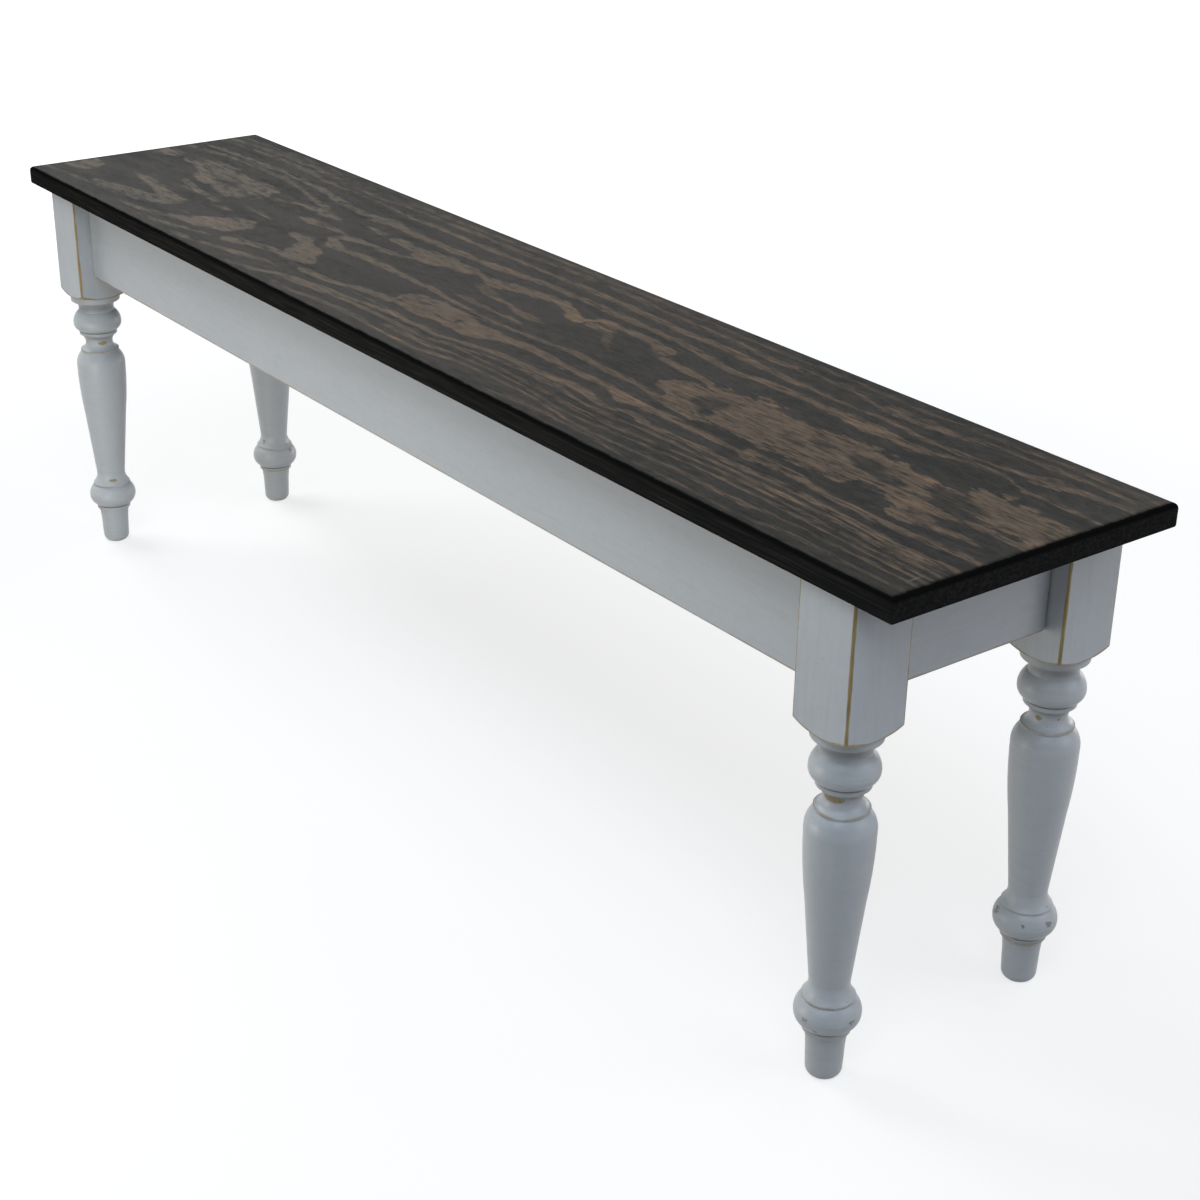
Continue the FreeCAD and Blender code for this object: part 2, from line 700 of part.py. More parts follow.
def brace_screw_placements():
    seat = apron_inner + dim.brace_screw_seat
    sides = (
        (dim.brace_screw_reach, seat, FreeCAD.Vector(0, -1, 0)),
        (seat, dim.brace_screw_reach, FreeCAD.Vector(-1, 0, 0)),
    )
    placements = []
    for turns, sign_x, sign_y in CORNERS.values():
        for x, y, direction in sides:
            shift_x, shift_y = turned(x, y, turns)
            rotation = quarter_turn(turns) * FreeCAD.Rotation(AXIS_Z, direction)
            for height in screw_heights:
                placements.append(
                    (leg_x * sign_x + shift_x, leg_y * sign_y + shift_y, brace_base + height, rotation)
                )
    return placements


long_length = (leg_x - leg_half) * 2
end_length = (leg_y - leg_half) * 2
face_x = leg_x + leg_half - dim.apron_setback
face_y = leg_y + leg_half - dim.apron_setback
long_screws = leg_x - dim.brace_screw_reach
end_screws = leg_y - dim.brace_screw_reach

pieces = [
    make_seat("seat_board"),
    make_apron("front_apron", long_length, 0, -face_y, 0, long_screws, True),
    make_apron("right_end_apron", end_length, face_x, 0, 1, end_screws, False),
    make_apron("back_apron", long_length, 0, face_y, 2, long_screws, True),
    make_apron("left_end_apron", end_length, -face_x, 0, 3, end_screws, False),
]
for corner_name, corner_place in CORNERS.items():
    pieces.append(make_leg(f"{corner_name}_leg", *corner_place))
    pieces.append(make_brace(f"{corner_name}_brace", *corner_place))
pieces.append(make_rail("cross_rail"))

washer_reach = chamfer_reach + dim.brace_thickness
nut_reach = washer_reach + dim.washer_thickness
pieces.append(copies("hanger_bolts", make_bolt("bolt"), bolt_line(chamfer_reach - dim.bolt_grip)))
pieces.append(copies("bolt_washers", make_washer("washer"), bolt_line(washer_reach)))
pieces.append(copies("bolt_nuts", make_nut("nut"), bolt_line(nut_reach)))
brace_screw = make_screw("brace_screw", dim.brace_screw_seat + dim.brace_screw_grip)
pieces.append(copies("brace_screws", brace_screw, brace_screw_placements()))
clip_turns = [(x, y, dim.leg_length, quarter_turn(turns)) for x, y, turns in clip_places()]
pieces.append(copies("seat_clips", make_clip("clip"), clip_turns))
clip_screw = make_screw("clip_screw", dim.clip_thickness + dim.clip_screw_grip)
clip_screw_level = dim.leg_length - dim.clip_thickness
screw_spots = [(x, y, clip_screw_level, FreeCAD.Rotation()) for x, y in clip_screw_places()]
pieces.append(copies("seat_clip_screws", clip_screw, screw_spots))
doc.recompute()

for item in doc.Objects:
    if "Invalid" in item.State or "Error" in item.State:
        raise RuntimeError(f"{item.Label} did not build")
os.makedirs("parts", exist_ok=True)
for piece in pieces:
    if piece.Shape.isNull() or not piece.Shape.isValid():
        raise RuntimeError(f"{piece.Label} has no valid shape")
    piece.Shape.exportStep(f"parts/{piece.Label}.step")
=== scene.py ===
import math
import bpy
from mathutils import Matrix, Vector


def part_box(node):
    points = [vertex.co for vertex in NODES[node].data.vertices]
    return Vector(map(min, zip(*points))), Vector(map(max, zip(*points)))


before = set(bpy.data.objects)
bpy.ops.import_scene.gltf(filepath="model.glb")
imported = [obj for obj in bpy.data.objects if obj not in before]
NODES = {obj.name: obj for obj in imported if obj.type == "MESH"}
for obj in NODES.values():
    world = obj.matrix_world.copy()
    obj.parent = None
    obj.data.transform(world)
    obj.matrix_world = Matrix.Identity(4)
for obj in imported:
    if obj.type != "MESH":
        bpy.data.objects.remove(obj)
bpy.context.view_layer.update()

from types import SimpleNamespace
from typing import NamedTuple

import bpy
from mathutils import Matrix, Vector

# Dining bench: a stained plank seat on a painted frame that is rubbed through along its edges.
# Metres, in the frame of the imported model: X along the bench, the front long side facing -Y, z = 0 the floor.
MM = 0.001
LEGS = [name for name in NODES if name.endswith("_leg")]
LONG_APRONS = ("front_apron", "back_apron")
END_APRONS = ("left_end_apron", "right_end_apron")
BRACES = [name for name in NODES if name.endswith("_brace")]
HARDWARE = ("hanger_bolts", "bolt_washers", "bolt_nuts", "brace_screws", "seat_clips", "seat_clip_screws")

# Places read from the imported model
SEAT_LOW, SEAT_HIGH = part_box("seat_board")
LEG_LOW, LEG_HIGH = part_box("front_right_leg")
APRON_LOW, APRON_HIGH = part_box("front_apron")
END_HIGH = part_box("right_end_apron")[1]
LEG_AXIS = (LEG_LOW + LEG_HIGH) / 2
BLOCK_HALF = (LEG_HIGH.x - LEG_LOW.x) / 2
BLOCK_DIAGONAL = BLOCK_HALF * math.sqrt(2)

# Colours, linear
STAIN_DARK = (0.0180, 0.0163, 0.0130)
STAIN_MIDDLE = (0.066, 0.057, 0.046)
STAIN_BROWN = (0.173, 0.120, 0.079)
# The band brown greyed by a painted sheen, used toward the left end of the seat
PAINTED_SHEEN_BROWN = (0.181, 0.152, 0.118)
STAIN_WARM = (0.290, 0.172, 0.096)
STAIN_ARRIS = (0.0060, 0.0058, 0.0055)
STAIN_EDGE = (0.015, 0.015, 0.0148)
STAIN_EDGE_PALE = (0.036, 0.033, 0.028)
STAIN_SCRATCH = (0.26, 0.22, 0.17)
THIN_STAIN = (0.050, 0.034, 0.022)
THIN_STAIN_PALE = (0.150, 0.098, 0.056)
PAINT = (0.590, 0.606, 0.616)
PAINT_COOL = (0.570, 0.590, 0.606)
PAINT_SHADE = (0.40, 0.42, 0.44)
# Grime on the legs' dark chips, and also the painted shade in the recesses of their turning
GRIME_AND_SHADE = (0.16, 0.165, 0.17)
RUBBED_WOOD = (0.42, 0.300, 0.105)
RUBBED_DARK = (0.26, 0.175, 0.065)
PINE_PALE = (0.62, 0.44, 0.25)
PINE_LATE = (0.42, 0.25, 0.11)
ZINC = (0.62, 0.62, 0.63)
ZINC_DULL = (0.50, 0.49, 0.46)
FLOOR_DARK = (0.34, 0.34, 0.34)
FLOOR_PALE = (0.36, 0.36, 0.36)
WHITE = (1.0, 1.0, 1.0)

# Socket numbers for mixing two colours
COLOUR_A, COLOUR_B, COLOUR_OUT = 6, 7, 2


class Noise(NamedTuple):
    """Cells to a metre along X, Y and Z, octaves, roughness, and a shift along X."""

    rate: tuple
    detail: float = 3.0
    roughness: float = 0.55
    shift: float = 0.0


def even(rate):
    return (rate, rate, rate)


class Field:
    """A number that varies over a surface. Arithmetic on it adds Math nodes to its material."""

    def __init__(self, paint, socket):
        self.paint = paint
        self.socket = socket

    def _math(self, operation, *others):
        return self.paint.math(operation, self, *others)

    def __add__(self, other):
        return self._math("ADD", other)

    def __sub__(self, other):
        return self._math("SUBTRACT", other)

    def __rsub__(self, other):
        return self.paint.math("SUBTRACT", other, self)

    def __mul__(self, other):
        return self._math("MULTIPLY", other)

    def __truediv__(self, other):
        return self._math("DIVIDE", other)

    __radd__ = __add__
    __rmul__ = __mul__

    def size(self):
        return self._math("ABSOLUTE")

    def fraction(self):
        return self._math("FRACT")

    def root(self):
        return self._math("SQRT")

    def bell(self):
        """A bell round 0, of a number that is the square of a distance."""
        return (self * -1.0)._math("EXPONENT")

    def most(self, other):
        return self._math("MAXIMUM", other)

    def least(self, other):
        return self._math("MINIMUM", other)

    def rise(self, low, high):
        """0 below low, 1 above high, smooth between; falls instead where low is above high."""
        step = self.paint.node("ShaderNodeMapRange", interpolation_type="SMOOTHSTEP")
        first, last = (0.0, 1.0) if low < high else (1.0, 0.0)
        for name, value in (("Value", self), ("From Min", min(low, high)), ("From Max", max(low, high)),
                            ("To Min", first), ("To Max", last)):
            self.paint.feed(step.inputs[name], value)
        return Field(self.paint, step.outputs["Result"])


class Surface:
    """A material and the nodes that make it."""

    def __init__(self, name):
        self.material = bpy.data.materials.new(name)
        self.material.use_nodes = True
        self.tree = self.material.node_tree
        self.shader = self.tree.nodes["Principled BSDF"]
        split = self.node("ShaderNodeSeparateXYZ")
        self.feed(split.inputs[0], self.node("ShaderNodeTexCoord").outputs["Object"])
        self.x, self.y, self.z = (Field(self, split.outputs[axis]) for axis in "XYZ")

    def node(self, kind, **settings):
        made = self.tree.nodes.new(kind)
        for name, value in settings.items():
            setattr(made, name, value)
        return made

    def feed(self, socket, value):
        if isinstance(value, Field):
            value = value.socket
        if isinstance(value, bpy.types.NodeSocket):
            self.tree.links.new(value, socket)
        elif isinstance(value, tuple) and len(value) == 3 and socket.type == "RGBA":
            socket.default_value = (*value, 1.0)
        else:
            socket.default_value = value

    def math(self, operation, *values):
        made = self.node("ShaderNodeMath", operation=operation)
        for socket, value in zip(made.inputs, values):
            self.feed(socket, value)
        return Field(self, made.outputs[0])

    def vector(self, x, y, z):
        made = self.node("ShaderNodeCombineXYZ")
        for socket, value in zip(made.inputs, (x, y, z)):
            self.feed(socket, value)
        return made.outputs[0]

    def noise(self, kind):
        """Noise about zero, from -0.5 to 0.5."""
        made = self.node("ShaderNodeTexNoise", noise_dimensions="3D")
        x, y, z = (axis * rate for axis, rate in zip((self.x, self.y, self.z), kind.rate))
        self.feed(made.inputs["Vector"], self.vector(x + kind.shift, y, z))
        self.feed(made.inputs["Scale"], 1.0)
        self.feed(made.inputs["Detail"], kind.detail)
        self.feed(made.inputs["Roughness"], kind.roughness)
        return Field(self, made.outputs["Fac"]) - 0.5

    def noises(self, kinds):
        """The noises of a table, each under its name."""
        return SimpleNamespace(**{name: self.noise(kind) for name, kind in kinds.items()})

    def curve(self, value, points):
        """A smooth curve through points whose places and heights both run from 0 to 1."""
        made = self.node("ShaderNodeFloatCurve")
        made.mapping.extend = "HORIZONTAL"
        line = made.mapping.curves[0]
        line.points[0].location, line.points[1].location = points[0], points[-1]
        for place, height in points[1:-1]:
            line.points.new(place, height)
        for point in line.points:
            point.handle_type = "AUTO_CLAMPED"
        made.mapping.update()
        self.feed(made.inputs["Value"], value)
        return Field(self, made.outputs[0])

    def mix(self, share, first, second):
        made = self.node("ShaderNodeMix", data_type="RGBA")
        self.feed(made.inputs["Factor"], share)
        self.feed(made.inputs[COLOUR_A], first)
        self.feed(made.inputs[COLOUR_B], second)
        return made.outputs[COLOUR_OUT]

    def bump(self, height, depth, strength):
        made = self.node("ShaderNodeBump")
        self.feed(made.inputs["Height"], height)
        self.feed(made.inputs["Distance"], depth)
        self.feed(made.inputs["Strength"], strength)
        self.feed(self.shader.inputs["Normal"], made.outputs["Normal"])

    def set(self, **inputs):
        for name, value in inputs.items():
            self.feed(self.shader.inputs[name.replace("_", " ")], value)


# The seat: one flat-sawn plank. Stain fills the soft ground, and the hard growth bands stay brown.
# The figure in millimetres. Each growth band: how strongly it shows, then x, y and half width along its run.
GROWTH_BANDS = (
    (0.50, ((-692, 120, 3), (-600, 128, 3), (-500, 130, 3), (-420, 123, 3), (-350, 122, 2), (-296, 126, 3),
            (-150, 129, 3), (-79, 132, 3), (54, 132, 3), (252, 127, 3), (325, 129, 3), (451, 126, 3),
            (505, 129, 3), (692, 130, 3))),
    (0.62, ((-692, 106, 3), (-600, 116, 4), (-500, 118, 4), (-440, 112, 3), (-368, 109, 3), (-296, 115, 3),
            (-79, 118, 4), (54, 121, 4), (108, 116, 4), (180, 116, 3), (288, 109, 4), (325, 113, 4),
            (390, 112, 4), (412, 104, 4), (450, 106, 8), (500, 108, 7), (525, 113, 5), (560, 116, 3),
            (692, 118, 3))),
    (0.70, ((-692, 94, 2), (-600, 103, 3), (-512, 105, 4), (-440, 98, 3), (-368, 100, 2), (-320, 98, 2),
            (-270, 96, 4), (-215, 98, 3), (-150, 97, 4), (-7, 99, 4), (108, 97, 5), (180, 94, 5),
            (250, 93, 6),
            (288, 88, 5), (397, 86, 3), (451, 86, 3), (505, 81, 3), (577, 88, 4), (600, 90, 6),
            (612, 93, 10),
            (622, 93, 7), (640, 99, 4), (692, 101, 3))),
    (0.85, ((-692, 68, 3), (-600, 76, 4), (-500, 79, 5), (-430, 76, 4), (-380, 69, 6), (-330, 64, 4),
            (-285, 64, 8), (-270, 67, 7), (-200, 65, 6), (-79, 68, 6), (7, 76, 5), (108, 75, 5),
            (180, 73, 4),
            (252, 66, 5), (290, 60, 4), (325, 66, 5), (397, 66, 5), (451, 64, 9), (505, 61, 7),
            (528, 70, 4),
            (577, 77, 3), (600, 70, 2), (613, 66, 3), (692, 66, 3))),
    (0.70, ((-692, 50, 4), (-600, 64, 4), (-512, 66, 4), (-450, 63, 4), (-420, 56, 4), (-390, 49, 5),
            (-362, 43, 6), (-345, 36, 6))),
    (0.80, ((-412, 17, 3), (-390, 24, 4), (-370, 28, 5), (-345, 32, 9), (-320, 31, 5), (-303, 30, 2))),
    (0.90, ((-268, 40, 2), (-250, 40, 4), (-232, 38, 2))),
    (0.80, ((-630, 22, 6), (-600, 26, 15), (-565, 24, 19), (-530, 21, 16), (-500, 21, 14), (-470, 20, 17),
            (-445, 14, 21), (-432, 8, 14))),
    (0.85, ((-562, -1, 3), (-540, -6, 8), (-505, -9, 8), (-470, -8, 12), (-445, -3, 13), (-430, 0, 6))),
    (0.90, ((-545, -27, 3), (-520, -33, 6), (-490, -36, 5), (-470, -37, 3), (-447, -41, 5), (-432, -48, 3),
            (-405, -46, 2))),
    (0.60, ((-405, -24, 2), (-385, -26, 4), (-347, -26, 2))),
    (0.85, ((-690, 16, 10), (-665, 19, 11), (-648, 20, 5))),
    (0.85, ((-690, -85, 21), (-662, -85, 18), (-646, -86, 8))),
    (0.70, ((-596, -58, 4), (-560, -61, 7), (-520, -66, 9), (-492, -72, 14), (-475, -78, 17),
            (-460, -78, 8))),
    (0.70, ((-600, -106, 4), (-560, -101, 8), (-530, -97, 11), (-500, -93, 15), (-478, -86, 16))),
    (0.90, ((-416, -102, 5), (-400, -93, 12), (-378, -82, 19), (-358, -73, 23), (-343, -70, 22),
            (-333, -71, 16))),
    (0.80, ((-336, 2, 3), (-312, 2, 6), (-290, 6, 5), (-265, 8, 3), (-250, 4, 2))),
    (0.85, ((-250, -6, 7), (-240, 1, 8), (-215, 8, 5), (-165, 10, 4), (-148, 16, 5), (-138, 22, 4))),
    (0.85, ((-252, -10, 5), (-238, -20, 8), (-215, -24, 6), (-175, -19, 5), (-140, -19, 5), (-90, -21, 4),
            (-50, -20, 4), (-20, -25, 3), (80, -28, 3), (137, -25, 3), (180, -20, 5), (215, -24, 4),
            (260, -24, 5), (300, -30, 4), (330, -35, 3))),
    (1.00, ((-287, -36, 5), (-265, -35, 9), (-248, -50, 15), (-228, -58, 22), (-208, -66, 16),
            (-190, -71, 7))),
    (0.90, ((-316, -99, 4), (-296, -94, 8), (-270, -85, 6), (-240, -79, 6), (-212, -77, 6))),
    (0.60, ((-692, -124, 2), (-620, -118, 3), (-540, -113, 2))),
    (0.75, ((-492, -121, 3), (-462, -118, 5), (-438, -113, 6), (-412, -104, 4))),
    (0.65, ((-445, -129, 3), (-400, -124, 4), (-365, -114, 3), (-330, -107, 2))),
    (0.60, ((-362, -131, 4), (-338, -130, 5), (-326, -130, 2), (-310, -124, 3), (-282, -119, 4),
            (-262, -114, 5), (-235, -108, 4), (-200, -102, 3))),
    (0.95, ((-172, -89, 5), (-140, -87, 5), (-110, -83, 4), (-85, -75, 6), (-62, -72, 5), (-45, -70, 6))),
    (1.00, ((-50, -54, 8), (-38, -54, 17), (0, -55, 19), (30, -53, 18), (62, -55, 17), (82, -57, 14),
            (100, -53, 11), (120, -47, 7), (150, -45, 7), (200, -48, 4), (255, -48, 4), (275, -51, 6),
            (290, -54, 8), (308, -52, 5), (400, -53, 4), (420, -54, 2), (432, -52, 6), (450, -53, 7),
            (485, -51, 6), (520, -56, 4), (600, -59, 4), (640, -56, 3), (692, -55, 3))),
    (0.85, ((-215, -129, 3), (-168, -113, 4), (-115, -104, 4), (-60, -97, 3), (0, -91, 4), (65, -91, 3),
            (95, -84, 3), (145, -75, 4), (200, -74, 4), (250, -70, 5), (278, -76, 5), (300, -78, 3),
            (315, -71, 4), (350, -76, 4), (397, -74, 4), (450, -74, 4), (505, -71, 4), (560, -75, 4),
            (600, -77, 4), (640, -80, 6), (692, -76, 3))),
    (0.75, ((85, -96, 2), (145, -86, 2), (230, -82, 3), (275, -88, 2), (315, -89, 2), (360, -84, 2),
            (450, -83, 2), (540, -83, 3), (630, -89, 3), (692, -92, 2))),
    (0.65, ((-245, -134, 2), (-190, -122, 2), (-130, -113, 3), (-80, -106, 3), (0, -103, 3), (54, -103, 3),
            (108, -96, 2), (200, -96, 2), (250, -98, 3), (285, -101, 4), (340, -99, 4), (400, -94, 2),
            (470, -91, 2), (540, -93, 2), (613, -97, 2), (692, -100, 2))),
    (0.60, ((15, -113, 3), (45, -112, 4), (75, -112, 4), (120, -106, 2), (200, -104, 2), (250, -109, 2),
            (290, -112, 2), (330, -109, 2), (390, -104, 2), (470, -100, 2), (540, -101, 2),
            (692, -107, 2))),
    (0.60, ((-155, -132, 4), (-125, -131, 3), (-60, -123, 3), (-30, -122, 4), (40, -126, 2), (90, -124, 3),
            (115, -119, 4), (140, -115, 2), (220, -113, 2), (325, -122, 2), (380, -120, 2), (430, -116, 3),
            (505, -118, 3), (540, -113, 2), (613, -113, 2), (692, -115, 2))),
    (0.50, ((200, -134, 2), (250, -128, 4), (325, -127, 2), (400, -133, 2), (520, -133, 2), (577, -126, 3),
            (631, -127, 2), (692, -127, 3))),
    (1.00, ((-216, 37, 2), (-205, 38, 6), (-170, 37, 8), (-158, 36, 13), (-140, 34, 17), (-120, 34, 14),
            (-100, 38, 9), (-75, 40, 8), (-60, 40, 3), (-46, 38, 7), (-25, 39, 10), (0, 44, 8), (20, 50, 7),
            (54, 53, 6), (70, 49, 7), (85, 41, 8), (100, 36, 6), (108, 42, 6), (120, 53, 5), (190, 54, 5),
            (205, 48, 9), (218, 46, 10), (226, 46, 3))),
    (0.55, ((118, 38, 6), (140, 40, 8), (152, 30, 7), (168, 18, 4), (190, 10, 3))),
    (0.60, ((-40, 22, 3), (-10, 15, 6), (20, 11, 3), (40, 8, 3), (62, 6, 6), (90, 4, 3))),
    (0.60, ((-22, -10, 2), (-4, -11, 5), (18, -12, 3), (45, -12, 2), (60, -12, 5), (78, -13, 3))),
    (0.90, ((230, 32, 3), (250, 31, 5), (275, 29, 5), (296, 25, 5), (308, 20, 4))),
    (1.00, ((276, -4, 8), (288, 0, 18), (302, -2, 24), (325, 0, 32), (361, -2, 36), (397, -6, 33),
            (415, -1, 29), (451, 1, 33), (515, -1, 32), (530, 5, 25), (555, 3, 23), (577, -4, 32),
            (595, 1, 41), (609, 4, 42), (622, 16, 27), (649, 18, 23), (692, 20, 17))),
    (0.80, ((515, -11, 3), (560, -14, 4), (620, -12, 4), (650, -10, 5), (692, -8, 5))),
    (0.85, ((600, -34, 5), (640, -33, 4), (660, -33, 2))),
)
# A band closes a little past its first and last stations, where its half width falls below zero
BAND_END = 9
HALF_LEAST = -10
HALF_RANGE = 60
# Over how many millimetres a band's edges fade, and how far noise moves and swells them
BAND_BACK_EDGE = (-2.6, 2.4)
BAND_FRONT_EDGE = (-1.4, 1.6)
BAND_DRIFT = 22.0
BAND_WAVER = 5.0
BAND_RAGGED = 6.5
BAND_FRAYED = 3.0
BAND_SWELL = 2.0
# Stained islands in the bands: x, y, half length and half width
DARK_ISLANDS = (
    (-501, 7, 24, 4), (-285, -13, 24, 11), (-260, -62, 15, 10), (-228, -37, 17, 3), (-16, -51, 7, 4),
    (44, -53, 4, 6), (335, -4, 16, 13), (348, -20, 9, 8), (456, 10, 15, 5), (440, -6, 16, 2),
    (505, 10, 18, 9), (528, 2, 28, 6), (592, 12, 28, 9), (612, -2, 34, 6), (640, -22, 40, 5),
)
ISLAND_EDGE = (1.8, 0.3)
ISLAND_LOBES = 3.0
ISLAND_DEPTH = 0.75
# Dark bands across the grain in the front half: x and half width
CROSS_BANDS = ((-637, 11), (-437, 9), (-324, 7))
CROSS_REACH = (20, -20)
CROSS_DEPTH = 0.6
# One short pale scratch near the front right corner: x, y, half width and half length
SCRATCH = (676, -108, 0.8, 6.0)
SCRATCH_DEPTH = 0.6
SEAT_LONG = (SEAT_HIGH.x - SEAT_LOW.x) / MM
SEAT_DEEP = (SEAT_HIGH.y - SEAT_LOW.y) / MM

# Toward the front the bands become straight, crisp lines, and toward the left end they blur and fade to grey, a
# painted sheen of that end
FRONT_LINES = (-58.0 * MM, -72.0 * MM)
FRONT_STEADY = 0.65
FRONT_CRISP = 0.9
BLURRED_SPAN = (-0.05, -0.40)
BLURRED_EDGES = 0.55
PAINTED_SHEEN_SPAN = (0.35, -0.65)
# Where along the seat the stain is thinner or again thicker, and by how much
THINNER_SPAN, THINNER = (0.62, -0.05), 0.29
THICKER_SPAN, THICKER = (-0.25, -0.60), 0.09
# How much of a band's brown shows, and the ranges of noise over which the tones change
BROWN_SHARE = 0.66
BROWN_TONES = (-0.05, 1.0)
GROUND_TONES = (-0.30, 0.55)
WARM_TONES = (0.08, 0.55)
EDGE_TONES = (-0.15, 0.3)
# The dark edge: its width on top, wider at the ends, and how far it reaches down
MARGIN = (2.2 * MM, 5.6 * MM)
MARGIN_RAGGED = 1.5 * MM
END_MARGIN_SHARE = 0.6
TOP_FACE = (SEAT_HIGH.z - 2.0 * MM, SEAT_HIGH.z - 0.3 * MM)
TOP_ARRIS = (SEAT_HIGH.z - 4.5 * MM, SEAT_HIGH.z - 1.5 * MM)
UNDERSIDE = (SEAT_LOW.z + 1.2 * MM, SEAT_LOW.z + 0.2 * MM)
UNDERSIDE_MARGIN = (3.0 * MM, 12.0 * MM)
SEAT_ROUGHNESS = 0.42
SEAT_SHEEN = 0.45
# Depth and strength of the pores
SEAT_RELIEF = (0.35 * MM, 0.55)
SEAT_NOISES = {
    "drift": Noise((16.0, 60.0, 5.0), 4.0, 0.6),
    "waver": Noise((16.0, 60.0, 5.0), 4.0, 0.6, 3.7),
    "ragged": Noise((90.0, 260.0, 45.0), 3.0, 0.65),
    "lobes": Noise((34.0, 95.0, 8.0), 4.0, 0.65, 13.0),
    "fibre": Noise((55.0, 900.0, 400.0), 3.0, 0.7),
    "patchy": Noise((8.0, 40.0, 3.0), 3.0, 0.55, 11.0),
    "mottle": Noise((60.0, 130.0, 20.0), 4.0, 0.65, 17.0),
    "pores": Noise((160.0, 2600.0, 900.0), 2.0, 0.6),
    "fleck": Noise((42.0, 420.0, 60.0), 4.0, 0.7, 41.0),
    "edge": Noise((18.0, 330.0, 520.0), 3.0, 0.65, 2.0),
}


def growth_band(wood, along, across, swell, crisp, run):
    """How far inside a growth band a place is, 0 to 1; along and across run from 0 to 1 over the seat.

    The band ends sharply toward the front and fades toward the back; swell widens it and crisp sharpens it.
    """
    first, last = run[0], run[-1]
    points = [(first[0] - BAND_END, first[1], HALF_LEAST), *run, (last[0] + BAND_END, last[1], HALF_LEAST)]
    points = [point for point in points if abs(point[0]) <= SEAT_LONG / 2]
    places = [x / SEAT_LONG + 0.5 for x, y, half in points]
    middles = [y / SEAT_DEEP + 0.5 for x, y, half in points]
    halves = [(half - HALF_LEAST) / HALF_RANGE for x, y, half in points]
    middle = wood.curve(along, list(zip(places, middles)))
    half = (wood.curve(along, list(zip(places, halves))) * HALF_RANGE + HALF_LEAST) * swell
    off = (across - middle) * SEAT_DEEP
    return ((half - off) * crisp).rise(*BAND_BACK_EDGE) * ((half + off) * crisp).rise(*BAND_FRONT_EDGE)


def plank_figure(wood, grain, blurred):
    """How much of the brown growth bands shows, 0 to 1."""
    calm = wood.y.rise(*FRONT_LINES)
    rough = 1.0 - calm * FRONT_STEADY
    crisp = 1.0 + calm * FRONT_CRISP - blurred * BLURRED_EDGES
    swell = 1.0 + grain.lobes * rough * BAND_SWELL
    along = wood.x / MM + grain.drift * BAND_DRIFT
    sideways = grain.waver * BAND_WAVER + grain.ragged * BAND_RAGGED + grain.fibre * BAND_FRAYED
    across = wood.y / MM + sideways * rough
    unit_along = along / SEAT_LONG + 0.5
    unit_across = across / SEAT_DEEP + 0.5
    brown = 0.0
    for strength, run in GROWTH_BANDS:
        band = growth_band(wood, unit_along, unit_across, swell, crisp, run) * strength
        brown = band.most(brown)
    for x, y, length, width in DARK_ISLANDS:
        off_x = (along - x) / length
        off_y = (across - y) / width
        island = (off_x * off_x + off_y * off_y + grain.lobes * ISLAND_LOBES).rise(*ISLAND_EDGE)
        brown = brown * (1.0 - island * ISLAND_DEPTH)
    for x, width in CROSS_BANDS:
        off = (along - x) / width
        brown = brown * (1.0 - (off * off).bell() * across.rise(*CROSS_REACH) * CROSS_DEPTH)
    return brown


def plank_top(wood, grain, blurred, brown):
    """The colour of the top: brown bands over the stained ground."""
    thin = wood.x.rise(*THINNER_SPAN) * THINNER - wood.x.rise(*THICKER_SPAN) * THICKER
    streaks = grain.patchy + grain.mottle * (1.5 + blurred * 1.5) + grain.fibre * 2.2 + grain.fleck * 2.6
    share = brown * (BROWN_SHARE + thin * 0.55 + streaks)
    clouds = (grain.patchy + grain.lobes) * blurred * 0.8
    ground = grain.fleck * 1.2 + grain.mottle + grain.patchy * 0.6 + thin + clouds
    stain = wood.mix(ground.rise(*GROUND_TONES), STAIN_DARK, STAIN_MIDDLE)
    warm = (grain.patchy + grain.fleck * 1.6 + grain.mottle * 0.8).rise(*WARM_TONES)
    # Toward the left end the bands turn grey: a painted sheen
    bands = wood.mix(wood.x.rise(*PAINTED_SHEEN_SPAN), STAIN_BROWN, PAINTED_SHEEN_BROWN)
    return wood.mix(share.rise(*BROWN_TONES), stain, wood.mix(warm, bands, STAIN_WARM))


